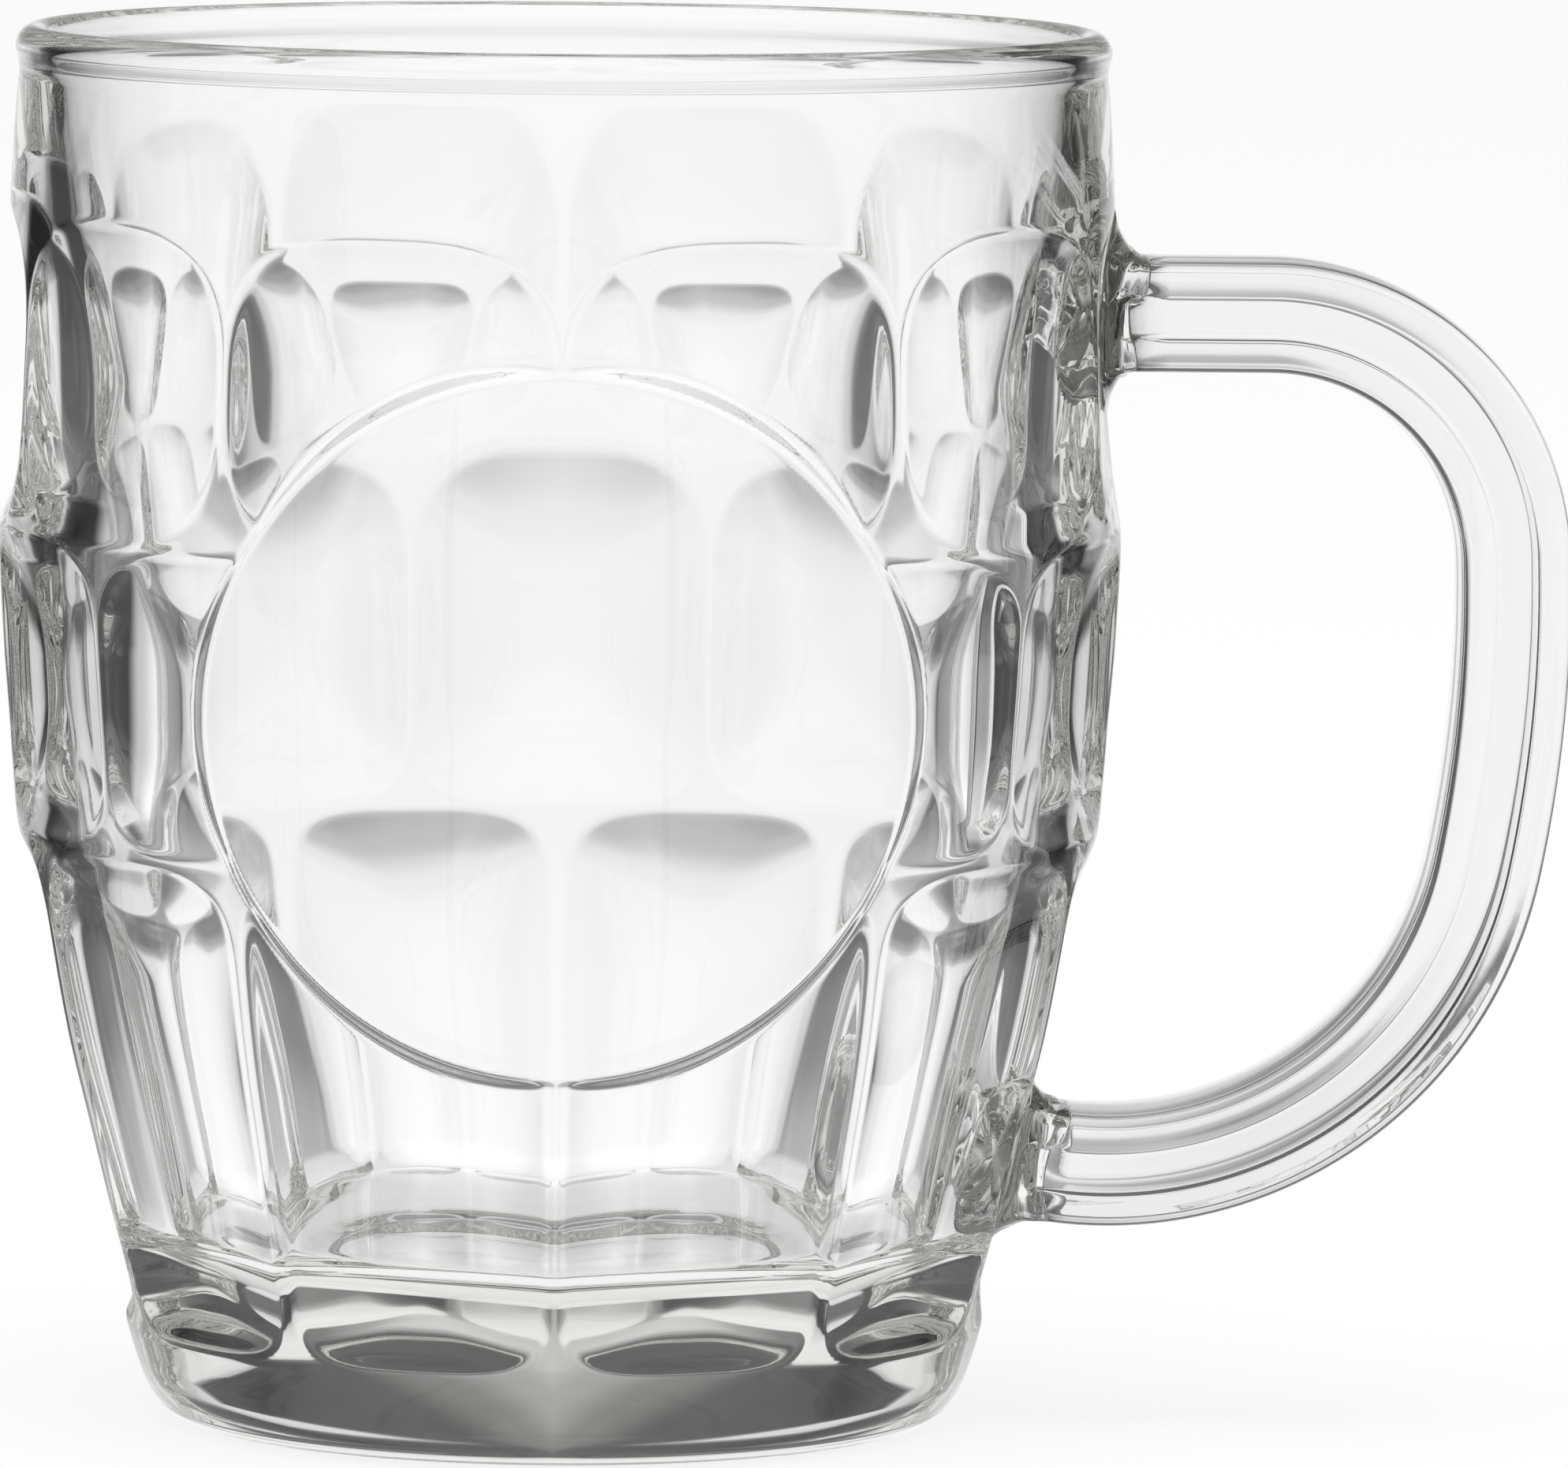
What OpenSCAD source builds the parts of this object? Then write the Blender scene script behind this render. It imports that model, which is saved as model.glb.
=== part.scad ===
// Dimpled glass beer mug: a pressed barrel with three rows of dimples and a bare round
// medallion on its front, and a separately pressed handle welded on by two glass collars.
// +Z is up, the axis of the barrel is the Z axis, the foot stands on Z = 0,
// the medallion faces -Y and the handle points along +X.

/* [Barrel] */
// Height of the mug from the table to the rim
mug_h = 125; // [121:0.5:130]
// Largest outside diameter, which every other width of the barrel follows
belly_d = 100.8; // [94:0.2:108]
// How far the lower edge of the plain band lies inside the largest radius
shoulder_step = 0.8; // [0.4:0.1:1.4]
// How far the rounded rim bead lies inside the largest radius
rim_step = 1.3; // [0.7:0.1:2]
// How far the neck under the rim bead lies inside the bead
neck_step = 0.3; // [0.1:0.1:0.8]
// How far the start of the long taper lies inside the largest radius
waist_step = 2; // [1.4:0.1:2.8]
// How far the middle of the taper lies inside the largest radius
taper_step = 6.2; // [5.4:0.1:7.2]
// How far the side of the foot lies inside the largest radius
foot_step = 12.2; // [10.4:0.1:13.4]
// How far the barrel swells past a straight line between two of these heights
barrel_swell = 0.3; // [0.1:0.05:0.5]
// Radius of the rounded edge of the foot
foot_edge_r = 4; // [3:0.25:5]

/* [Heights] */
// Distance from the rim down to the lower edge of the plain band
shoulder_drop = 16; // [14:0.25:17.5]
// Height of the largest diameter
belly_z = 78; // [74:0.5:82]
// Height where the long taper starts
waist_z = 52.5; // [50:0.5:54]
// Height of the middle of the taper
taper_z = 31; // [26:0.5:34]

/* [Cavity] */
// Thickness of the rim bead
rim_bead_t = 3.2; // [2.8:0.1:3.6]
// Height where the cavity starts to flare towards the mouth
throat_z = 92; // [88:1:98]
// How much narrower the cavity is there than at its mouth, in radius
throat_step = 2.4; // [1.8:0.1:3]
// Height where the long taper of the cavity starts
knee_z = 54; // [50:0.5:58]
// How much narrower the cavity is there than where the flare starts, in radius
knee_step = 0.6; // [0.3:0.1:1.2]
// How much narrower the cavity is at its floor than where the taper starts, in radius
floor_step = 7; // [6:0.1:8]
// Thickness of the solid base
base_t = 14.5; // [12:0.5:17]
// Radius of the corner between the wall and the floor
floor_corner_r = 6; // [4:0.5:9]
// Width of the flat ring that the foot stands on
foot_ring_w = 7.2; // [5:0.2:11]
// Depth of the recess inside that ring
recess_depth = 1.2; // [0.6:0.1:2]

/* [Dimples] */
// Lower edge of the upper row
upper_row_z = 80.6; // [79:0.2:82]
// Height of a dimple of the upper row
upper_row_h = 28.2; // [26:0.2:28.4]
// Lower edge of the middle row
middle_row_z = 53.4; // [53:0.2:55]
// Height of a dimple of the middle row
middle_row_h = 27; // [24:0.2:27.2]
// Lower edge of the long lower row
lower_row_z = 8.8; // [8:0.2:12]
// Height of a dimple of the long lower row
lower_row_h = 43.8; // [38:0.2:44]
// Length of the rounded ends of the long dimples
lower_end_h = 8; // [6:0.5:12]
// Depth of the dimples of the two short rows
dimple_depth = 3.1; // [2.6:0.1:3.4]
// Depth of the long dimples
lower_depth = 2.25; // [1.8:0.05:2.5]
// Radius to which a dimple is hollow across its width
across_r = 147; // [120:1:200]
// Depth of the dimples on the mould's parting line
parting_depth = 1.2; // [0.8:0.1:1.6]
// Draft angle of the two halves of a dimple on the parting line
parting_angle = 7; // [5:0.5:8]

/* [Medallion] */
// Diameter of the bare round medallion
medallion_d = 63; // [56:0.5:66]
// Height of its centre above the table
medallion_z = 66.4; // [64:0.2:69]
// How far it stands proud of the barrel
medallion_lift = 0.3; // [0.2:0.05:0.5]

/* [Handle] */
// Radial thickness of the handle
handle_t = 10.3; // [9:0.1:11.5]
// Width of the handle across its beads
handle_w = 15; // [13:0.5:17]
// Thickness of each of the two beads
bead_t = 3.5; // [3:0.1:4]
// How far the rounded edge of a bead reaches down the side of the handle
bead_cap = 1.1; // [0.8:0.05:1.4]
// How far the web between the beads lies below them
web_dip = 0.45; // [0.3:0.05:0.6]
// Distance from the rim down to the middle of the upper arm
handle_drop = 25.2; // [23.5:0.1:27]
// Straight length of the upper arm, from the weld on
arm_run = 10.4; // [8:0.1:13]
// Radius of the upper bend, at the middle of the section
upper_bend_r = 22.3; // [21:0.1:24]
// Angle that the upper bend turns through
upper_bend_angle = 88; // [86:0.5:90]
// Radius of the long grip
grip_r = 118; // [100:1:140]
// Angle that the grip turns through
grip_angle = 13.5; // [12:0.5:15]
// Radius of the lower bend
lower_bend_r = 34.7; // [33:0.1:36]

/* [Welds] */
// Glass of the weld between the barrel and the handle
weld_t = 3.1; // [2.4:0.1:4]
// Radius of the hollow flare round each weld
flare_r = 4.3; // [3:0.1:5]
// How far the flare reaches out on each side, across the handle
side_flare_r = 2.6; // [1.5:0.1:3.4]

/* [Hidden] */
glass = [0.86, 0.89, 0.88];
// Ten dimples a row put one on the mould's parting line at each side, where the handle is welded
dimple_n = 10;
parting_az = 90;
// Passes of every cut beyond the surface that it opens, and the depth of glass behind the pad
overrun = 3;
pad_root = 1;
belly_r = belly_d / 2;
shoulder_r = belly_r - shoulder_step;
rim_r = belly_r - rim_step;
neck_r = rim_r - neck_step;
waist_r = belly_r - waist_step;
taper_r = belly_r - taper_step;
foot_r = belly_r - foot_step;
mouth_r = rim_r - rim_bead_t;
throat_r = mouth_r - throat_step;
knee_r = throat_r - knee_step;
floor_r = knee_r - floor_step;
bead_r = rim_bead_t / 2;
bead_z = mug_h - bead_r;
neck_z = mug_h - rim_bead_t;
shoulder_z = mug_h - shoulder_drop;
handle_z = mug_h - handle_drop;
// Steps of a bead's rounded edge, and the largest turn between two stations of a bend
bead_steps = 6;
bend_step = 5.5;
$fn = 180;

// Outer radius of the barrel at height z, from the named diameters
barrel_line = [
    [0, foot_r],
    [foot_edge_r, foot_r],
    [taper_z, taper_r],
    [waist_z, waist_r],
    [(waist_z + belly_z) / 2, (waist_r + belly_r) / 2 + barrel_swell],
    [belly_z, belly_r],
    [(shoulder_z + belly_z) / 2, (shoulder_r + belly_r) / 2 + barrel_swell / 2],
    [shoulder_z, shoulder_r],
    [neck_z, neck_r],
    [bead_z, neck_r]
];
function barrel_r(z) = lookup(z, barrel_line);

// A point at angle a on a circle of radius r round c, and the centre that a bend hangs from
function on_circle(c, r, a) = c + r * [cos(a), sin(a)];

// The handle runs from the upper weld: arm, upper bend, grip, lower bend, lower weld
arm_start = [barrel_r(handle_z) + weld_t, handle_z];
bend_start_x = arm_start[0] + arm_run;
bend_c = [bend_start_x, handle_z - upper_bend_r];
bend_end_a = 90 - upper_bend_angle;
grip_c = on_circle(on_circle(bend_c, upper_bend_r, bend_end_a), grip_r, bend_end_a + 180);
grip_end_a = bend_end_a - grip_angle;
low_c = on_circle(on_circle(grip_c, grip_r, grip_end_a), lower_bend_r, grip_end_a + 180);

// Distance left between the end of the lower bend at angle a and the seam at the barrel
function seam_gap(a) = let (p = on_circle(low_c, lower_bend_r, a)) p[0] - barrel_r(p[1]) - weld_t;
// The angle between a and b at which the lower bend reaches the seam, by halving
function seam_angle(a, b, n = 24) =
    n == 0 ? (a + b) / 2 :
    let (m = (a + b) / 2)
    seam_gap(m) > 0 ? seam_angle(m, b, n - 1) : seam_angle(a, m, n - 1);
low_end_a = seam_angle(grip_end_a - 45, -135);
low_end = on_circle(low_c, lower_bend_r, low_end_a);

// Half section of the barrel as a solid
module barrel_outline() {
    polygon(concat(
        [[0, 0], [foot_r - foot_edge_r, 0], [foot_r - foot_edge_r, foot_edge_r]],
        [for (i = [1:len(barrel_line) - 1]) [barrel_line[i][1], barrel_line[i][0]]],
        [[0, bead_z]]
    ));
    translate([foot_r - foot_edge_r, foot_edge_r]) circle(foot_edge_r);
    translate([rim_r - bead_r, bead_z]) circle(bead_r);
}

// The same with its cavity and the recess under the foot
module barrel_section() {
    slope = floor_step / (knee_z - base_t);
    lean = atan(slope);
    corner_z = base_t + floor_corner_r;
    corner_x = floor_r + floor_corner_r * (slope - 1 / cos(lean));
    difference() {
        barrel_outline();
        polygon([
            [0, base_t],
            [corner_x, base_t],
            [corner_x + floor_corner_r * cos(lean), corner_z - floor_corner_r * sin(lean)],
            [knee_r, knee_z],
            [throat_r, throat_z],
            [mouth_r, bead_z],
            [0, bead_z]
        ]);
        translate([corner_x, corner_z]) circle(floor_corner_r);
        square([foot_r - foot_edge_r - foot_ring_w, recess_depth]);
    }
}

// Vertical section of a dimple's cutter, flat in the middle and rounded over end_h at each end
module cutter_section(depth, half_h, end_h) {
    end_r = (end_h * end_h + depth * depth) / (2 * depth);
    flat = half_h - end_h;
    intersection() {
        union() {
            for (s = [-1, 1]) translate([across_r - end_r, s * flat]) circle(end_r);
            if (flat > 0) translate([across_r - end_r, -flat]) square([end_r, 2 * flat]);
        }
        translate([across_r - depth - overrun, -2 * half_h]) square([depth + overrun, 4 * half_h]);
    }
}

// A dimple's cutter on the chord of the barrel from z_low up to z_low + h, turned to azimuth az.
// Azimuth 0 is the front. A parting dimple is cut in two halves, each with its own draft.
module dimple_cutter(az, z_low, h, depth, end_h) {
    z_high = z_low + h;
    r_low = barrel_r(z_low);
    r_high = barrel_r(z_high);
    half_h = norm([r_high - r_low, h]) / 2;
    round_h = min(end_h, half_h);
    parting = abs(abs(az) - parting_az) < 180 / dimple_n / 2;
    deep = parting ? parting_depth : depth;
    reach = asin((PI * belly_d / dimple_n / 2 + overrun / 2) / across_r);
    rotate([0, 0, az - 90])
        translate([(r_low + r_high) / 2, 0, (z_low + z_high) / 2])
        rotate([0, atan2(r_high - r_low, h), 0])
        translate([-deep, 0, 0])
        for (turn = parting ? [-parting_angle, parting_angle] : [0])
            rotate([0, 0, turn])
            translate([across_r, 0, 0])
            rotate([0, 0, 180 - reach])
            rotate_extrude(angle = 2 * reach)
            cutter_section(deep, half_h, round_h);
}

// The round column that keeps the medallion clear of dimples
module medallion_column() {
    translate([0, 0, medallion_z])
        rotate([90, 0, 0])
        cylinder(h = belly_d, r = medallion_d / 2);
}

// The medallion: a thin round pad that follows the barrel
module medallion_pad() {
    half = medallion_d / 2 + overrun;
    steps = [for (p = barrel_line) if (abs(p[0] - medallion_z) < half) p];
    line = concat(
        [[medallion_z - half, barrel_r(medallion_z - half)]],
        steps,
        [[medallion_z + half, barrel_r(medallion_z + half)]]
    );
    n = len(line);
    intersection() {
        rotate([0, 0, -135])
            rotate_extrude(angle = 90)
            polygon(concat(
                [for (i = [0:n - 1]) [line[i][1] + medallion_lift, line[i][0]]],
                [for (i = [n - 1:-1:0]) [line[i][1] - pad_root, line[i][0]]]
            ));
        medallion_column();
    }
}

module mug_body() {
    pitch = 360 / dimple_n;
    short_end = max(upper_row_h, middle_row_h);
    color(glass) difference() {
        union() {
            rotate_extrude() barrel_section();
            medallion_pad();
        }
        for (i = [0:dimple_n - 1]) {
            half_az = (i + 0.5) * pitch - 180;
            whole_az = i * pitch - 180;
            difference() {
                dimple_cutter(half_az, upper_row_z, upper_row_h, dimple_depth, short_end);
                medallion_column();
            }
            difference() {
                dimple_cutter(whole_az, middle_row_z, middle_row_h, dimple_depth, short_end);
                medallion_column();
            }
            difference() {
                dimple_cutter(half_az, lower_row_z, lower_row_h, lower_depth, lower_end_h);
                medallion_column();
            }
        }
    }
}

// Rounded edge of a bead in the handle's section, on an ellipse round c between two angles
function bead_edge(c, a_from, a_to) =
    [for (i = [0:bead_steps]) let (a = a_from + (a_to - a_from) * i / bead_steps)
        c + [bead_t / 2 * cos(a), bead_cap * sin(a)]];

// Section of the handle: two rounded beads and a slightly sunk web, which cuts off the inner end
// of each edge at web_a. X is away from the grip.
function handle_section() =
    let (
        bead_x = (handle_t - bead_t) / 2,
        bead_y = handle_w / 2 - bead_cap,
        web_a = asin(1 - web_dip / bead_cap)
    )
    concat(
        bead_edge([bead_x, bead_y], 0, 180 - web_a),
        bead_edge([-bead_x, bead_y], web_a, 180),
        bead_edge([-bead_x, -bead_y], 180, 360 - web_a),
        bead_edge([bead_x, -bead_y], 180 + web_a, 360)
    );

// Stations of a bend of the handle round c: a place in the XZ plane and the way outwards there
function bend_stations(c, r, a_from, a_to) =
    let (n = ceil(abs(a_to - a_from) / bend_step))
    [for (i = [1:n]) let (a = a_from + (a_to - a_from) * i / n) [on_circle(c, r, a), a]];

module handle() {
    section = handle_section();
    stations = concat(
        [[arm_start, 90], [arm_start + [arm_run, 0], 90]],
        bend_stations(bend_c, upper_bend_r, 90, bend_end_a),
        bend_stations(grip_c, grip_r, bend_end_a, grip_end_a),
        bend_stations(low_c, lower_bend_r, grip_end_a, low_end_a)
    );
    n = len(section);
    last = (len(stations) - 1) * n;
    points = [for (s = stations) for (q = section)
        let (p = on_circle(s[0], q[0], s[1])) [p[0], q[1], p[1]]];
    sides = [for (k = [0:n:last - n]) for (i = [0:n - 1]) let (j = (i + 1) % n)
        each [[k + i, k + n + j, k + j], [k + i, k + n + i, k + n + j]]];
    caps = [[for (i = [0:n - 1]) i], [for (i = [n - 1:-1:0]) last + i]];
    color(glass) polyhedron(points = points, faces = concat(caps, sides));
}

// Side outline of a weld collar: it ends on the seam at X = 0 and flares towards the barrel
module collar_outline(half_w, r) {
    root = weld_t + parting_depth + overrun;
    difference() {
        translate([-root, -half_w - r]) square([root, 2 * (half_w + r)]);
        for (s = [-1, 1]) translate([0, s * (half_w + r)]) circle(r);
    }
}

// A weld collar whose seam is at p, tilted by lean about Y, cut to the dimpled barrel
module weld_collar(p, lean, z_low, h, depth, end_h) {
    deep_w = handle_w + 2 * side_flare_r;
    deep_t = handle_t + 2 * flare_r;
    difference() {
        translate([p[0], 0, p[1]])
            rotate([0, lean, 0])
            intersection() {
                rotate([90, 0, 0])
                    translate([0, 0, -deep_w / 2])
                    linear_extrude(height = deep_w)
                    collar_outline(handle_t / 2, flare_r);
                translate([0, 0, -deep_t / 2])
                    linear_extrude(height = deep_t)
                    collar_outline(handle_w / 2, side_flare_r);
            }
        difference() {
            rotate_extrude() barrel_outline();
            dimple_cutter(parting_az, z_low, h, depth, end_h);
        }
    }
}

module upper_weld() {
    color(glass) weld_collar(arm_start, 0, upper_row_z, upper_row_h, dimple_depth, upper_row_h);
}

module lower_weld() {
    color(glass)
        weld_collar(low_end, -90 - low_end_a, lower_row_z, lower_row_h, lower_depth, lower_end_h);
}

mug_body();
handle();
upper_weld();
lower_weld();
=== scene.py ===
"""Dimpled glass beer mug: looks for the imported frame.

Lengths are written in millimetres and turned into metres where a mesh or an object is made.
Azimuth a runs from -Y (the front, where the medallion is) towards +X (the handle).
"""

import math

import bmesh
import bpy
import numpy as np
from mathutils import Matrix, Vector


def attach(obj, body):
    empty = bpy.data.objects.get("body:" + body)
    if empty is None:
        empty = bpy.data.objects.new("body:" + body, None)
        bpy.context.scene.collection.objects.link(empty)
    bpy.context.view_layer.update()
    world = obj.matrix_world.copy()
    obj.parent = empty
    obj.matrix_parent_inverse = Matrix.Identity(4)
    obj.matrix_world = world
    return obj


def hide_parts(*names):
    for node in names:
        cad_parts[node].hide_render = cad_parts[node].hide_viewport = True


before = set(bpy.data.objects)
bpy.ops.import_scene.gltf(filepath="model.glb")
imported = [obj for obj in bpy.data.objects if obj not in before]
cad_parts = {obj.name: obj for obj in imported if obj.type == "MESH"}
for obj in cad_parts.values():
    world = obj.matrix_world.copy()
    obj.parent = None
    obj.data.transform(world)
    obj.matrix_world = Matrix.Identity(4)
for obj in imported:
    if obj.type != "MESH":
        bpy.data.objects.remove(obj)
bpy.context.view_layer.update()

MM = 0.001
scene = bpy.context.scene
scene.view_settings.view_transform = "Standard"
# Light runs far along the inside of the glass, so it needs more turns than usual
LIGHT_TURNS = 32
scene.cycles.max_bounces = LIGHT_TURNS
scene.cycles.transmission_bounces = LIGHT_TURNS
scene.cycles.glossy_bounces = LIGHT_TURNS

# Camera: fitted to the photograph
CAMERA_AT = (0.0, -1260.0, 187.5)
PITCH_DOWN = math.radians(5.708)
YAW_RIGHT = math.radians(0.921)
ROLL = math.radians(0.553)
LENS = 323.1
SENSOR = 36.0
SEEN_FROM, SEEN_TO = 0.05, 50


def add_camera():
    data = bpy.data.cameras.new("camera")
    data.sensor_fit = "HORIZONTAL"
    data.sensor_width = SENSOR
    data.lens = LENS
    data.clip_start = SEEN_FROM
    data.clip_end = SEEN_TO
    cam = bpy.data.objects.new("camera", data)
    scene.collection.objects.link(cam)
    forward = Vector(
        (
            math.sin(YAW_RIGHT) * math.cos(PITCH_DOWN),
            math.cos(YAW_RIGHT) * math.cos(PITCH_DOWN),
            -math.sin(PITCH_DOWN),
        )
    )
    level = Vector((math.cos(YAW_RIGHT), -math.sin(YAW_RIGHT), 0))
    up = level.cross(forward)
    right = level * math.cos(ROLL) + up * math.sin(ROLL)
    up = right.cross(forward)
    turn = Matrix((right, up, -forward)).transposed().to_4x4()
    cam.matrix_world = Matrix.Translation(Vector(CAMERA_AT) * MM) @ turn
    scene.camera = cam


add_camera()


def curve_through(points):
    """A function that runs smoothly through (x, y) points, without overshoot."""
    xs, ys = (np.array(v, float) for v in zip(*points))
    h = np.diff(xs)
    d = np.diff(ys) / h
    m = np.zeros_like(ys)
    same = d[:-1] * d[1:] > 0
    w1, w2 = 2 * h[1:] + h[:-1], h[1:] + 2 * h[:-1]
    safe = np.where(same, d[:-1] * d[1:], 1.0)
    m[1:-1] = np.where(same, (w1 + w2) * safe / (w1 * d[1:] + w2 * d[:-1] + (~same)), 0)
    m[0], m[-1] = d[0], d[-1]

    def value(x):
        x = np.clip(x, xs[0], xs[-1])
        i = np.clip(np.searchsorted(xs, x, side="right") - 1, 0, len(h) - 1)
        t = (x - xs[i]) / h[i]
        return (
            (1 + 2 * t) * (1 - t) ** 2 * ys[i]
            + t * (1 - t) ** 2 * h[i] * m[i]
            + t * t * (3 - 2 * t) * ys[i + 1]
            + t * t * (t - 1) * h[i] * m[i + 1]
        )

    return value


# Outer radius of the barrel where no dimple is cut, by height
barrel_r = curve_through(
    [
        (7.8, 38.45), (13.6, 39.85), (20, 41.6), (27.6, 43.55), (36, 45.65),
        (44.8, 47.3), (53, 48.55), (62, 49.4), (71, 50.05), (79, 50.35),
        (88, 50.2), (100, 49.8), (109, 49.5), (116, 49.15), (121, 48.75),
    ]
)

PITCH = math.radians(36)
HALF_PITCH = PITCH / 2
PARTING = math.pi / 2
SOFT_EDGE = 0.22
# The rows of dimples: azimuth of the first one, heights, depth, and half the width or the land
# between two of them. A higher square gives a squarer outline, and split rows have a shallower
# dimple under the handle.
UPPER = dict(first=HALF_PITCH, low=80.6, high=108.8, depth=3.1, half_w=15.25, square=1.5, split=True)
MIDDLE = dict(first=0.0, low=53.4, high=80.4, depth=3.1, half_w=15.45, square=2.0, split=False)
LOWER = dict(first=HALF_PITCH, low=8.8, high=52.6, depth=2.25, land=1.5, square=2.0, split=True)
# Heights over which a long dimple of the lower row fades out, at its foot and at its top
LOWER_CAPS = (6.0, 11.0)
# The dimple under the handle: its depth, and the slope of the low roof along its middle
PARTING_DEPTH = 1.2
PARTING_SLOPE = 0.123
# The bowl isn't followed further out than this square of a distance, where 1 is its outline
BOWL_END = 1.5

MEDALLION_R = 31.1
MEDALLION_Z = 66.4
MEDALLION_LIFT = 0.28
MEDALLION_DRAFT = 0.3
# Rounding of the medallion's edge: the size of the spot that is averaged, how far outside the
# edge the rounded strip has its middle, and half of its full-strength width
POLISH, POLISH_PLACE, POLISH_REACH = 0.24, 0.4, 1.2


def dimple(row, a, z):
    """How deep a row's dimples lie under the barrel at azimuth a and height z. Zero is their outline."""
    centre = np.round((a - row["first"]) / PITCH) * PITCH + row["first"]
    radius = barrel_r(z)
    t = (a - centre) * radius
    deep = row["depth"]
    if "land" in row:
        half_w = radius * HALF_PITCH - row["land"] / 2
        cap_low, cap_high = LOWER_CAPS
        u = np.maximum(row["low"] + cap_low - z, 0) / cap_low
        u = u + np.maximum(z - row["high"] + cap_high, 0) / cap_high
        r_low, r_high = barrel_r(row["low"]), barrel_r(row["high"])
        share = (z - row["low"]) / (row["high"] - row["low"])
        deep = deep + np.maximum(radius - r_low - (r_high - r_low) * share, 0)
    else:
        half_w = row["half_w"]
        u = (z - (row["low"] + row["high"]) / 2) / ((row["high"] - row["low"]) / 2)
    x2 = np.minimum((t / half_w) ** 2, BOWL_END)
    y2 = np.minimum(u * u, BOWL_END)
    bowl = 1 - (x2 ** row["square"] + y2 ** row["square"]) ** (1 / row["square"])
    cut = deep * bowl
    if row["split"]:
        side = np.abs(np.abs(centre) - PARTING) < HALF_PITCH / 2
        roof = PARTING_SLOPE * np.abs(t) * (1 - np.abs(t) / half_w) * (1 - y2)
        shallow = (PARTING_DEPTH + deep - row["depth"]) * bowl + roof
        cut = np.where(side, shallow, cut)
    return cut


def deepest(a, z):
    """Depth of whichever dimple cuts the deepest at azimuth a and height z."""
    return np.maximum.reduce([dimple(row, a, z) for row in (UPPER, MIDDLE, LOWER)])


SLOW_WAVE, FAST_WAVE = 0.014, 0.007


def waves(a, z):
    """The faint waviness of pressed glass, in millimetres."""
    slow = np.sin(5 * a + 0.11 * z + 0.7) * np.sin(0.19 * z - 3 * a + 1.9)
    fast = np.sin(13 * a - 0.23 * z + 2.1) * np.sin(0.47 * z + 4 * a)
    return SLOW_WAVE * slow + FAST_WAVE * fast


def dimpled_r(a, z):
    """The barrel with its dimples, whose edges are a little rounded."""
    cut = deepest(a, z)
    cut = np.maximum(cut, 0) + np.maximum(SOFT_EDGE - np.abs(cut), 0) ** 2 / (4 * SOFT_EDGE)
    return barrel_r(z) - cut + waves(a, z)


def wall_r(a, z):
    """Radius of the medallion's slanting edge along the ray at azimuth a and height z."""
    top = barrel_r(z) + MEDALLION_LIFT
    r = top.copy()
    s, dz = np.abs(np.sin(a)), z - MEDALLION_Z
    for _ in range(12):
        off = np.sqrt((r * s) ** 2 + dz * dz)
        f = off - MEDALLION_R - MEDALLION_DRAFT * (top - r)
        slope = r * s * s / np.maximum(off, 1e-6) + MEDALLION_DRAFT
        r = np.clip(r - f / slope, 5, top)
    return np.where(np.cos(a) > 0, r, 5.0)


def outer_r(a, z):
    """Outer radius of the barrel with its dimples and its medallion."""
    top = barrel_r(z) + MEDALLION_LIFT
    return np.maximum(dimpled_r(a, z), np.minimum(top, wall_r(a, z)))


def medallion_edge(a, z):
    """How far a point of the barrel lies outside the medallion's round edge, seen from the front."""
    top = barrel_r(z) + MEDALLION_LIFT
    return np.sqrt((top * np.sin(a)) ** 2 + (z - MEDALLION_Z) ** 2) - MEDALLION_R


def polished_r(a, z):
    """outer_r, averaged over a small spot near the medallion's edge, which fire-polishing has rounded."""
    total, weights = 0, 0
    for i in range(-2, 3):
        for j in range(-2, 3):
            weight = math.exp(-(i * i + j * j) / 2)
            total = total + weight * outer_r(a + i * POLISH / barrel_r(z), z + j * POLISH)
            weights += weight
    near = np.clip(2 - np.abs(medallion_edge(a, z) - POLISH_PLACE) / POLISH_REACH, 0, 1) * (np.cos(a) > 0)
    r = outer_r(a, z)
    return r + (total / weights - r) * near


def rounded(points, radius, steps=6):
    """An (r, z) line with its corners rounded. radius holds one number per point."""
    out = []
    for i, p in enumerate(points):
        p = Vector(p)
        r = radius[i]
        if not r:
            out.append(p)
            continue
        a = (Vector(points[i - 1]) - p).normalized()
        b = (Vector(points[i + 1]) - p).normalized()
        half = a.angle(b) / 2
        reach = r / math.tan(half)
        centre = p + (a + b).normalized() * (r / math.sin(half))
        start, end = p + a * reach - centre, p + b * reach - centre
        turn = start.angle(end)
        for k in range(steps + 1):
            f = k / steps
            w = (start * math.sin((1 - f) * turn) + end * math.sin(f * turn)) / math.sin(turn)
            out.append(centre + w)
    return [tuple(v) for v in out]


def spaced(line, step):
    """The line with extra points, so that none of its pieces is longer than step."""
    out = [line[0]]
    for p, q in zip(line, line[1:]):
        n = max(1, math.ceil(math.dist(p, q) / step))
        out += [(p[0] + (q[0] - p[0]) * k / n, p[1] + (q[1] - p[1]) * k / n) for k in range(1, n + 1)]
    return out


# Steps of the barrel's mesh: degrees between its columns in front and behind, and its rows' height
FRONT_STEP, BACK_STEP = 0.36, 0.5
ROW_STEP = 0.36
FRONT_SPAN = 45
DIMPLED_Z = (7.8, 109.8)
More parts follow.
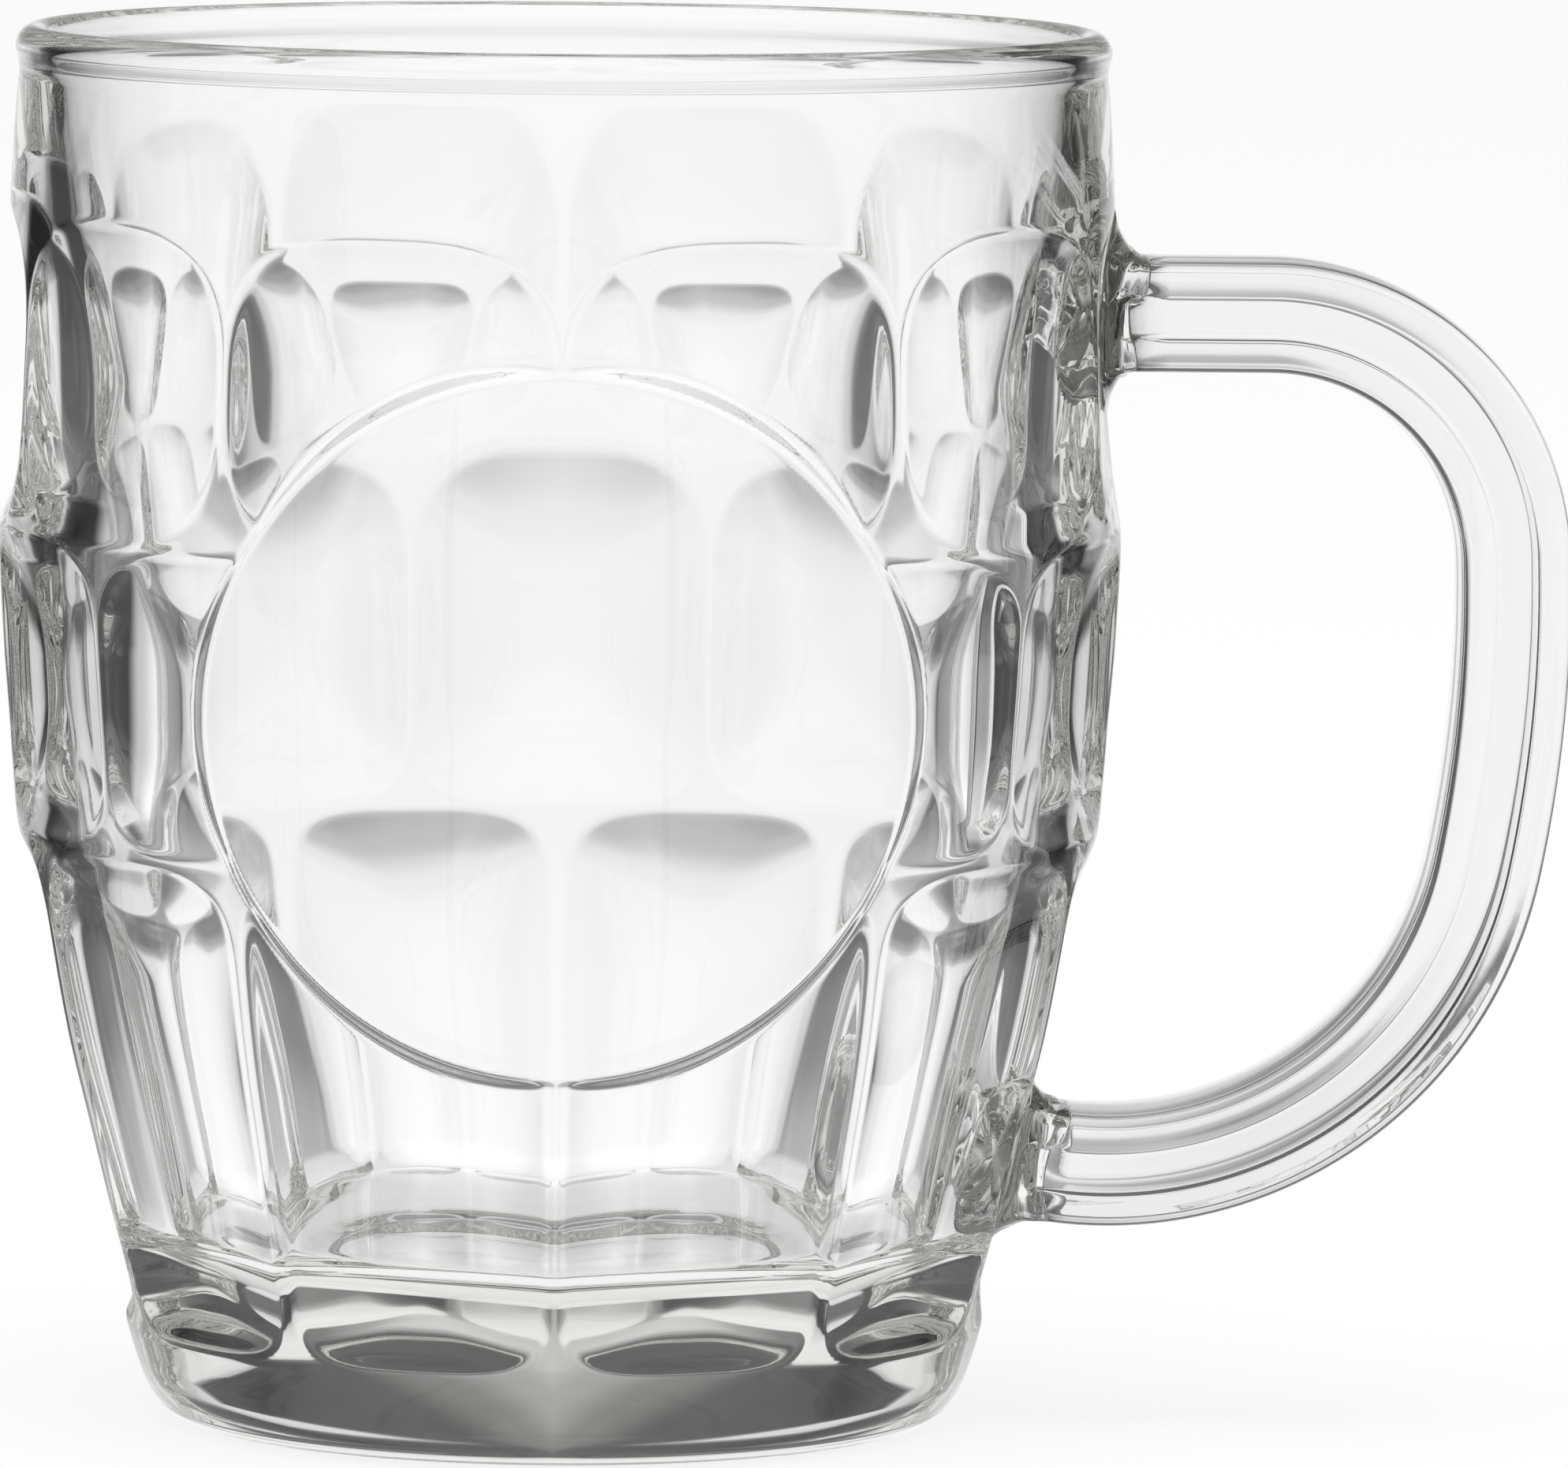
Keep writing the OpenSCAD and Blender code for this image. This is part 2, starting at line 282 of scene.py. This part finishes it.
# Section of the foot as (r, z): the recess and the ring with its rounded edges, and the side above
FOOT_RING = [(0.0, 1.25), (26.6, 1.15), (28.2, 0.0), (33.2, 0.0)]
FOOT_ROUNDING = [0, 1.2, 1.0, 0]
FOOT_STEP = 3.0
FOOT_SIDE = [(34.2, 0.12), (35.1, 0.6), (35.9, 1.4), (36.6, 2.5), (37.15, 3.7), (37.6, 5.0), (38.05, 6.4)]
# Heights of the rings between the dimples and the rim, and the section of the rim bead as (r, z)
NECK_Z = (111, 112.5, 114, 115.5, 117, 118.4, 119.5, 120.3)
BEAD = [
    (48.74, 121.0), (48.76, 121.5), (48.88, 122.0), (49.03, 122.5), (49.1, 123.0),
    (49.06, 123.5), (48.9, 123.95), (48.6, 124.4), (48.2, 124.75), (47.75, 124.95), (47.3, 125.0),
    (46.85, 124.9), (46.45, 124.65), (46.15, 124.3), (45.95, 123.85), (45.85, 123.3),
    (45.83, 122.6), (45.8, 121.6),
]
# The cavity's floor: height of its middle, radius, and how far its edge lies above its middle
BASE_T, FLOOR_R, FLOOR_DISH = 14.7, 35.2, 2.2
FLOOR_RINGS = (FLOOR_R, 30, 26, 22, 18, 14, 10, 6, 3, 0)
FLOOR_CORNER_R = 3.5
INSIDE_TOP, INSIDE_STEP = 120.0, 1.5
# Radius of the cavity from just over its floor up to its mouth: a taper, a nearly straight
# part behind the medallion, and a flare towards the rim
CAVITY = [
    (35.9, 19.5), (37.35, 25), (38.8, 30.5), (39.9, 35), (41.0, 40.5), (41.9, 46), (42.55, 52), (42.9, 58),
    (43.1, 67), (43.3, 80), (43.5, 90), (43.95, 98), (44.6, 106), (45.2, 113), (45.8, 121.6),
]
cavity_r = curve_through([(z, r) for r, z in CAVITY])


def make_object(name, points, faces, smooth=True, joined_from=None):
    """A mesh object. Faces from number joined_from on get the second material."""
    mesh = bpy.data.meshes.new(name)
    mesh.from_pydata([tuple(p) for p in points], [], faces)
    if joined_from is not None:
        mesh.polygons.foreach_set("material_index", [int(i >= joined_from) for i in range(len(faces))])
    if smooth:
        mesh.polygons.foreach_set("use_smooth", [True] * len(mesh.polygons))
    mesh.validate()
    mesh.update()
    obj = bpy.data.objects.new(name, mesh)
    scene.collection.objects.link(obj)
    return obj


def body_mesh():
    """The barrel: rings of points from the middle of its foot, up its outside and down its cavity."""
    foot = spaced(rounded(FOOT_RING, FOOT_ROUNDING), FOOT_STEP) + FOOT_SIDE
    low, high = DIMPLED_Z
    n = round((high - low) / ROW_STEP)
    step_z = (high - low) / n
    wall_z = [low + step_z * k for k in range(n + 1)]
    floor = [(r, BASE_T + FLOOR_DISH * (r / FLOOR_R) ** 2) for r in FLOOR_RINGS]
    corner = rounded([CAVITY[1]] + floor[:2], [0, FLOOR_CORNER_R, 0], steps=14)
    inside_z = np.arange(INSIDE_TOP, corner[1][1] + 0.5, -INSIDE_STEP)
    inside = [(float(cavity_r(z)), float(z)) for z in inside_z] + corner[1:] + floor[2:]
    fine = np.arange(-FRONT_SPAN, FRONT_SPAN, FRONT_STEP)
    coarse = np.arange(FRONT_SPAN, 360 - FRONT_SPAN, BACK_STEP)
    a0 = np.radians(np.concatenate([fine, coarse]))
    columns = len(a0)
    rings = []

    def ring(r, z):
        rings.append((a0, np.full(columns, float(r)), np.full(columns, float(z))))

    for r, z in foot[1:]:
        ring(r, z)
    grid_a, grid_z = np.meshgrid(a0, np.array(wall_z))
    r = polished_r(grid_a, grid_z)
    for k in range(n + 1):
        rings.append((grid_a[k], r[k], grid_z[k]))
    for z in NECK_Z:
        ring(barrel_r(np.array(z)), z)
    for r_z in BEAD + inside[:-1]:
        ring(*r_z)
    count = len(rings)
    a, r, z = (np.stack([g[i] for g in rings]) for i in range(3))
    points = np.stack([r * np.sin(a), -r * np.cos(a), z], -1).reshape(-1, 3)
    base, top = len(points), len(points) + 1
    points = np.vstack([points, [0, 0, foot[0][1]], [0, 0, inside[-1][1]]]) * MM
    faces = []
    for i in range(count - 1):
        for j in range(columns):
            k = (j + 1) % columns
            faces.append((i * columns + j, i * columns + k, (i + 1) * columns + k, (i + 1) * columns + j))
    last = (count - 1) * columns
    for j in range(columns):
        k = (j + 1) % columns
        faces.append((base, k, j))
        faces.append((top, last + j, last + k))
    return make_object("body", points, faces)


# Handle: the middle line of its section in the XZ plane
ARM_Z = 99.8
SEAM_X = 52.95
BEND = dict(centre=(63.35, 77.5), r=22.3, start=90.0, end=2.0)
GRIP_R, GRIP_END = 118.0, -11.5
LOW = dict(centre=(49.0, 57.5), r=34.7, end=-97.2)
ARM_STEPS, GRIP_STEPS, LOW_STEPS = 8, 14, 44
BEND_STEP = 2.0
HALF_T, HALF_W = 5.15, 7.5


def handle_stations():
    """Places along the handle: (x, z, angle of the way outwards)."""
    on = lambda c, r, d: (c[0] + r * math.cos(math.radians(d)), c[1] + r * math.sin(math.radians(d)))
    arm = BEND["centre"][0] - SEAM_X
    out = [(SEAM_X + arm * k / ARM_STEPS, ARM_Z, 90.0) for k in range(ARM_STEPS + 1)]
    d = BEND["start"]
    while d > BEND["end"]:
        d = max(d - BEND_STEP, BEND["end"])
        out.append((*on(BEND["centre"], BEND["r"], d), d))
    grip_c = on(BEND["centre"], BEND["r"] - GRIP_R, BEND["end"])
    for k in range(1, GRIP_STEPS + 1):
        d = BEND["end"] + (GRIP_END - BEND["end"]) * k / GRIP_STEPS
        out.append((*on(grip_c, GRIP_R, d), d))
    centre = on(grip_c, GRIP_R - LOW["r"], GRIP_END)
    for k in range(1, LOW_STEPS + 1):
        d = GRIP_END + (LOW["end"] - GRIP_END) * k / LOW_STEPS
        out.append((*on(centre, LOW["r"], d), d))
    return out


# The web between the beads: places across the handle, and how far they lie inside its side
WEB = [
    (3.4, 0.04), (3.0, 0.06), (2.6, 0.1), (2.25, 0.17), (2.0, 0.25), (1.88, 0.34), (1.78, 0.42),
    (1.6, 0.46), (1.2, 0.45), (0.6, 0.43), (0.0, 0.42),
]
BEAD_PLACE, BEAD_SIZE = (3.8, 6.4), 1.05


def handle_section():
    """Outline of the section as (out, side): on each side two soft beads with a shallow web between them."""
    half = [(HALF_T, 0.0), (HALF_T - 0.03, 2.4), (HALF_T - 0.14, 4.6)]
    for k in range(9):
        turn = math.radians(3 + 10.5 * k)
        half.append((BEAD_PLACE[0] + BEAD_SIZE * math.cos(turn), BEAD_PLACE[1] + BEAD_SIZE * math.sin(turn)))
    half += [(o, HALF_W - sunk) for o, sunk in WEB]
    half += [(-o, w) for o, w in half[-2::-1]]
    return half + [(o, -w) for o, w in half[-2:0:-1]]


# How far the handle's end runs past its flat seam, by the place across its thickness
UPPER_SEAM = curve_through(
    [(-5.15, 1.45), (-2.6, 1.75), (-1.6, 2.1), (1.2, 2.3), (2.0, 0.9), (3.5, 0.5), (5.15, 0.45)]
)
LOWER_SEAM = curve_through(
    [(-5.15, -0.75), (-2.6, -0.4), (-1.6, 0.7), (1.0, 0.95), (2.0, 0.9), (3.4, 0.4), (5.15, 0.0)]
)


def handle_mesh():
    """The section swept through the stations, with an end face along each weld's seam."""
    section = handle_section()
    stations = handle_stations()
    points, faces = [], []
    for k, (x, z, d) in enumerate(stations):
        reach = None
        if k == 0:
            reach = UPPER_SEAM
        elif k == len(stations) - 1:
            reach = LOWER_SEAM
        for o, w in section:
            t = 0.0 if reach is None else float(reach(o))
            if k == 0:
                t = -t
            points.append(local(x, z, d, o, w, t))
    n = len(section)
    for k in range(len(stations) - 1):
        for i in range(n):
            j = (i + 1) % n
            faces.append((k * n + i, k * n + j, (k + 1) * n + j, (k + 1) * n + i))
    for k, reach, sign in ((0, UPPER_SEAM, -1), (len(stations) - 1, LOWER_SEAM, 1)):
        x, z, d = stations[k]
        points.append(local(x, z, d, 0, 0, sign * float(reach(0.0))))
        faces += [(len(points) - 1, k * n + i, k * n + (i + 1) % n) for i in range(n)]
    obj = make_object("handle_glass", np.array(points) * MM, faces)
    fix_normals(obj)
    return obj


def end_way(d):
    """The way along the handle, from the upper weld to the lower, where its way outwards is at angle d."""
    return math.sin(math.radians(d)), -math.cos(math.radians(d))


def local(x, z, d, o, w, t):
    """The point o outwards, w sideways and t along the handle from the middle line at (x, z)."""
    c, s = math.cos(math.radians(d)), math.sin(math.radians(d))
    along = end_way(d)
    return x + o * c + t * along[0], w, z + o * s + t * along[1]


# Space between two pieces that touch
GAP = 0.02
# How far the bisection looks for the barrel before and after a station
SEARCH = (-2.0, 14.0)


def flush_with_body(station, sign, o, w):
    """How far along from the station the barrel's surface lies, less the gap, for arrays of points."""
    low, high = (np.full(len(o), end) for end in SEARCH)
    for _ in range(30):
        t = (low + high) / 2
        x, y, z = local(*station, o, w, sign * t)
        outside = np.hypot(x, y) > outer_r(np.arctan2(x, -y), z) + GAP
        low, high = np.where(outside, t, low), np.where(outside, high, t)
    return low


BOXY_POWER = 3.2


def boxy(angle, half_o, half_w):
    """Radius of a rounded rectangle in the direction of angle."""
    across, side = np.abs(np.cos(angle)) / half_o, np.abs(np.sin(angle)) / half_w
    return (across**BOXY_POWER + side**BOXY_POWER) ** (-1 / BOXY_POWER)


# Share of a quarter circle that the flare follows, and how uneven the fire-softened glass is
FLARE_ARC, ROUGHNESS = 0.97, 0.2
# Rings of its end face on the barrel, as shares of its outline
END_RINGS = (0.82, 0.64, 0.46, 0.28, 0.12)


def collar_mesh(name, station, seam, sign, flare_out, flare_in, flare_side, rows=14):
    """A flared glass collar from the handle's end to the barrel, with its foot on the barrel's surface.
    sign is -1 at the start of the handle and 1 at its end."""
    o, w = np.array(handle_section()).T
    n = len(o)
    angle = np.arctan2(w, o)
    own = np.hypot(o, w)
    hull = np.maximum(own, boxy(angle, HALF_T, HALF_W))
    target = boxy(angle, HALF_T + np.where(o > 0, flare_out, flare_in), HALF_W + flare_side)
    c, s = np.cos(angle), np.sin(angle)
    end = flush_with_body(station, sign, target * c, target * s)
    start = seam(o) + GAP
    loops = []
    for k in range(rows + 1):
        f = k / rows
        flare = (1 - math.sqrt(1 - (FLARE_ARC * f) ** 2)) / (1 - math.sqrt(1 - FLARE_ARC**2))
        fill = min(1.0, 1.5 * f)
        fill = fill * fill * (3 - 2 * fill)
        rough = ROUGHNESS * math.sin(math.pi * f) * (
            np.sin(3 * angle + 5 * f) * math.sin(2.3 + 7 * f) + 0.7 * np.sin(7 * angle + 1.3 + 9 * f)
        )
        r = own + (hull - own) * fill + (target - hull) * flare + rough
        loops.append(local(*station, r * c, r * s, sign * (start + (end - start) * f)))
    for f in END_RINGS:
        p, q = target * c * f, target * s * f
        loops.append(local(*station, p, q, sign * flush_with_body(station, sign, p, q)))
    points = [np.stack(np.broadcast_arrays(*loop), -1) for loop in loops]
    zero = np.zeros(1)
    tip = local(*station, zero, zero, sign * flush_with_body(station, sign, zero, zero))
    points += [np.stack(tip, -1), np.array([local(*station, 0, 0, sign * (float(seam(0.0)) + GAP))])]
    points = np.vstack(points)
    faces = []
    for k in range(len(loops) - 1):
        low, high = k * n, (k + 1) * n
        faces += [(low + i, low + (i + 1) % n, high + (i + 1) % n, high + i) for i in range(n)]
    last = (len(loops) - 1) * n
    faces += [(last + i, last + (i + 1) % n, len(points) - 2) for i in range(n)]
    seam_faces = [(i, (i + 1) % n, len(points) - 1) for i in range(n)]
    obj = make_object(name, points * MM, seam_faces + faces, joined_from=n * (rows + 1))
    fix_normals(obj)
    return obj


# Faces this near the barrel's surface count as on it, and the weld's rim keeps its own surface
ON_BARREL, WELD_REACH, WELD_RIM = 0.1, 14, 0.15


def join_to_body(obj, station, flare_out, flare_in, flare_side):
    """Gives the second material to the barrel's faces under a collar, where glass runs on into glass."""
    mesh = obj.data
    middle = np.empty(len(mesh.polygons) * 3)
    mesh.polygons.foreach_get("center", middle)
    x, y, z = middle.reshape(-1, 3).T / MM
    c, s = math.cos(math.radians(station[2])), math.sin(math.radians(station[2]))
    o = (x - station[0]) * c + (z - station[1]) * s
    angle = np.arctan2(y, o)
    size = boxy(angle, HALF_T + np.where(o > 0, flare_out, flare_in), HALF_W + flare_side)
    on_barrel = np.abs(np.hypot(x, y) - outer_r(np.arctan2(x, -y), z)) < ON_BARREL
    near = np.abs(z - station[1]) < WELD_REACH
    under = (x > 0) & on_barrel & near & (np.hypot(o, y) < size - WELD_RIM)
    slots = np.zeros(len(mesh.polygons), int)
    mesh.polygons.foreach_get("material_index", slots)
    mesh.polygons.foreach_set("material_index", np.where(under, 1, slots))


def fix_normals(obj):
    bm = bmesh.new()
    bm.from_mesh(obj.data)
    bmesh.ops.recalc_face_normals(bm, faces=bm.faces)
    bm.to_mesh(obj.data)
    bm.free()


GLASS_IOR = 1.5
GLASS_TINT, GLASS_DENSITY = (0.62, 0.63, 0.59, 1), 10.0


def glass(name, alpha=1.0):
    """Clear glass that takes a little light on long ways. With alpha 0 its surface isn't there."""
    mat = bpy.data.materials.new(name)
    mat.use_nodes = True
    nodes, links = mat.node_tree.nodes, mat.node_tree.links
    bsdf = nodes["Principled BSDF"]
    bsdf.inputs["Base Color"].default_value = (1, 1, 1, 1)
    bsdf.inputs["Roughness"].default_value = 0.0
    bsdf.inputs["IOR"].default_value = GLASS_IOR
    bsdf.inputs["Transmission Weight"].default_value = 1.0
    bsdf.inputs["Alpha"].default_value = alpha
    depth = nodes.new("ShaderNodeVolumeAbsorption")
    depth.inputs["Color"].default_value = GLASS_TINT
    depth.inputs["Density"].default_value = GLASS_DENSITY
    links.new(depth.outputs[0], nodes["Material Output"].inputs["Volume"])
    return mat


def math_node(nodes, links, kind, *inputs, clamp=False):
    """A Math node of that kind. Each input is a number or another node's output."""
    node = nodes.new("ShaderNodeMath")
    node.operation = kind
    node.use_clamp = clamp
    for i, value in enumerate(inputs):
        if isinstance(value, (int, float)):
            node.inputs[i].default_value = value
        else:
            links.new(value, node.inputs[i])
    return node.outputs[0]


def graded(nodes, links, value, stops):
    """Brightness by angle in degrees: value from -90 to 180, with smooth steps between the stops."""
    share = math_node(nodes, links, "DIVIDE", math_node(nodes, links, "ADD", value, 90.0), 270.0)
    node = nodes.new("ShaderNodeValToRGB")
    node.color_ramp.interpolation = "EASE"
    links.new(share, node.inputs[0])
    line = node.color_ramp.elements
    for i, (angle, level) in enumerate(stops):
        place = (angle + 90) / 270
        stop = line[i] if i < 2 else line.new(place)
        stop.position = place
        stop.color = (level, level, level, 1)
    return node.outputs[0]


# Brightness by angle, in degrees: of the backdrop, of the gaps beside it, and of the side lights
ACROSS = [(0, 1.0), (12, 0.96), (22, 0.84), (28, 0.6), (32, 0.1), (36, 0.0)]
BACKDROP = [(-40, 1.1), (-8, 0.99), (-1, 0.94), (3, 0.86), (9, 0.5), (16, 0.28), (26, 0.12), (40, 0.1)]
GAPS = [
    (-62, 1.0), (-42, 0.75), (-28, 0.4), (-17, 0.15), (-9, 0.06), (-5, 0.02), (20, 0.02), (40, 0.1),
    (65, 0.35),
]
SIDES = [(57, 0.0), (68, 0.6), (80, 1.0)]
SIDE_HEIGHT = [(-50, 0.9), (-20, 1.08), (-2, 1.0), (10, 0.85), (26, 0.95), (60, 0.9)]
# Through the glass the floor glows with what the studio has in the direction away from this point, in
# metres: painted light and shade, as the floor itself is evenly pale
STUDIO_CENTRE = (0.0, 0.0, 0.06)
# The backdrop's upper edge bows down towards its sides from this angle below the horizon
BOW_START, BOW = 2.0, 0.09
# How white the floor and the world are for the camera, and how much of the floor's own colour gives way
FLOOR_WHITE, WORLD_WHITE = 1.05, 1.0
FLOOR_GLOW = 0.8
FLOOR_SIZE, FLOOR_DROP = 4.0, 0.0002
FLOOR_GREY, FLOOR_ROUGHNESS = 0.9, 0.9


def studio_group():
    """How bright the studio is in a direction: a backdrop behind the mug that fades upwards, a dark
    gap at each side of it, and wide soft lights at the sides and in front."""
    group = bpy.data.node_groups.new("studio", "ShaderNodeTree")
    group.interface.new_socket("Direction", in_out="INPUT", socket_type="NodeSocketVector")
    group.interface.new_socket("Brightness", in_out="OUTPUT", socket_type="NodeSocketFloat")
    nodes, links = group.nodes, group.links
    start, end = nodes.new("NodeGroupInput"), nodes.new("NodeGroupOutput")
    unit = nodes.new("ShaderNodeVectorMath")
    unit.operation = "NORMALIZE"
    links.new(start.outputs[0], unit.inputs[0])
    split = nodes.new("ShaderNodeSeparateXYZ")
    links.new(unit.outputs[0], split.inputs[0])
    x, y, z = split.outputs
    calc = lambda *v, **k: math_node(nodes, links, *v, **k)
    turn = calc("MULTIPLY", calc("ABSOLUTE", calc("ARCTAN2", x, y)), 180 / math.pi)
    rise = calc("MULTIPLY", calc("ARCSINE", z), 180 / math.pi)
    high = calc("MAXIMUM", calc("ADD", rise, BOW_START), 0.0)
    bowed = calc("MULTIPLY_ADD", calc("MULTIPLY", high, turn), BOW, rise)
    backdrop = calc("MULTIPLY", graded(nodes, links, turn, ACROSS), graded(nodes, links, bowed, BACKDROP))
    side = calc("MULTIPLY", graded(nodes, links, turn, SIDES), graded(nodes, links, rise, SIDE_HEIGHT))
    value = calc("MAXIMUM", calc("MAXIMUM", backdrop, side), graded(nodes, links, rise, GAPS))
    links.new(value, end.inputs[0])
    return group


def mixed(nodes, links, share, low, high):
    """low where share is 0 and high where it is 1."""
    node = nodes.new("ShaderNodeMix")
    node.data_type = "FLOAT"
    links.new(share, node.inputs[0])
    for i, value in ((2, low), (3, high)):
        if isinstance(value, (int, float)):
            node.inputs[i].default_value = value
        else:
            links.new(value, node.inputs[i])
    return node.outputs[0]


def add_floor(studio):
    """A pale floor that keeps the mug's shadow for the camera. For rays through or off the glass it glows
    with painted studio light and shade.
    """
    size = FLOOR_SIZE
    corners = [(-size, -size, 0), (size, -size, 0), (size, size, 0), (-size, size, 0)]
    floor = make_object("floor", corners, [(0, 1, 2, 3)], False)
    floor.location.z = -FLOOR_DROP
    mat = bpy.data.materials.new("floor_white")
    mat.use_nodes = True
    nodes, links = mat.node_tree.nodes, mat.node_tree.links
    bsdf = nodes["Principled BSDF"]
    bsdf.inputs["Base Color"].default_value = (FLOOR_GREY, FLOOR_GREY, FLOOR_GREY, 1)
    bsdf.inputs["Roughness"].default_value = FLOOR_ROUGHNESS
    geometry = nodes.new("ShaderNodeNewGeometry")
    away = nodes.new("ShaderNodeVectorMath")
    away.operation = "SUBTRACT"
    links.new(geometry.outputs["Position"], away.inputs[0])
    away.inputs[1].default_value = STUDIO_CENTRE
    # Painted light and shade: rays through or off the glass see the floor glow with the studio's brightness,
    # its dark gaps included
    group = nodes.new("ShaderNodeGroup")
    group.node_tree = studio
    links.new(away.outputs[0], group.inputs[0])
    path = nodes.new("ShaderNodeLightPath")
    glow = nodes.new("ShaderNodeEmission")
    glow.inputs["Color"].default_value = (1, 1, 1, 1)
    camera_ray = path.outputs["Is Camera Ray"]
    links.new(mixed(nodes, links, camera_ray, group.outputs[0], FLOOR_WHITE), glow.inputs["Strength"])
    # Rays through or off the glass get only the painted studio glow, and camera rays get mostly white with
    # some of the lit floor
    seen = math_node(nodes, links, "ADD", path.outputs["Is Glossy Ray"], path.outputs["Is Transmission Ray"])
    share = math_node(nodes, links, "MULTIPLY_ADD", camera_ray, FLOOR_GLOW, seen, clamp=True)
    mix = nodes.new("ShaderNodeMixShader")
    links.new(share, mix.inputs[0])
    links.new(bsdf.outputs[0], mix.inputs[1])
    links.new(glow.outputs[0], mix.inputs[2])
    links.new(mix.outputs[0], nodes["Material Output"].inputs["Surface"])
    floor.data.materials.append(mat)


def add_world(studio):
    """The studio all round, white where the camera looks at it directly."""
    world = bpy.data.worlds.new("studio")
    scene.world = world
    world.use_nodes = True
    nodes, links = world.node_tree.nodes, world.node_tree.links
    group = nodes.new("ShaderNodeGroup")
    group.node_tree = studio
    links.new(nodes.new("ShaderNodeTexCoord").outputs["Generated"], group.inputs[0])
    path = nodes.new("ShaderNodeLightPath")
    bg = nodes["Background"]
    bg.inputs["Color"].default_value = (1, 1, 1, 1)
    camera_ray = path.outputs["Is Camera Ray"]
    links.new(mixed(nodes, links, camera_ray, group.outputs[0], WORLD_WHITE), bg.inputs["Strength"])


LAMP_SIZE, LAMP_POWER, LAMP_AT = 1.4, 12, (0, -0.1, 1.6)


def add_top_light():
    """A soft round lamp above, for the shadow on the floor. The glass doesn't show it."""
    data = bpy.data.lights.new("top_light", "AREA")
    data.shape = "DISK"
    data.size = LAMP_SIZE
    data.energy = LAMP_POWER
    lamp = bpy.data.objects.new("top_light", data)
    lamp.location = LAMP_AT
    lamp.visible_transmission = False
    lamp.visible_glossy = False
    scene.collection.objects.link(lamp)


studio = studio_group()
add_floor(studio)
add_world(studio)
add_top_light()

# How far each collar flares outwards, inwards and sideways, in millimetres
UPPER_FLARE, LOWER_FLARE = (4.4, 3.7, 2.4), (3.6, 3.2, 2.4)
body = body_mesh()
handle = handle_mesh()
stations = handle_stations()
upper_collar = collar_mesh("upper_collar", stations[0], UPPER_SEAM, -1, *UPPER_FLARE)
lower_collar = collar_mesh("lower_collar", stations[-1], LOWER_SEAM, 1, *LOWER_FLARE)
join_to_body(body, stations[0], *UPPER_FLARE)
join_to_body(body, stations[-1], *LOWER_FLARE)
clear, joined = glass("clear_glass"), glass("joined_glass", 0.0)
PIECES = (
    (body, "mug_body", "body_glass"),
    (handle, "handle", "handle_glass"),
    (upper_collar, "upper_weld", "weld_glass"),
    (lower_collar, "lower_weld", "weld_glass"),
)
for obj, node, slot in PIECES:
    obj.data.materials.append(clear)
    if obj is not handle:
        obj.data.materials.append(joined)
    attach(obj, "root")
    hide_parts(node)
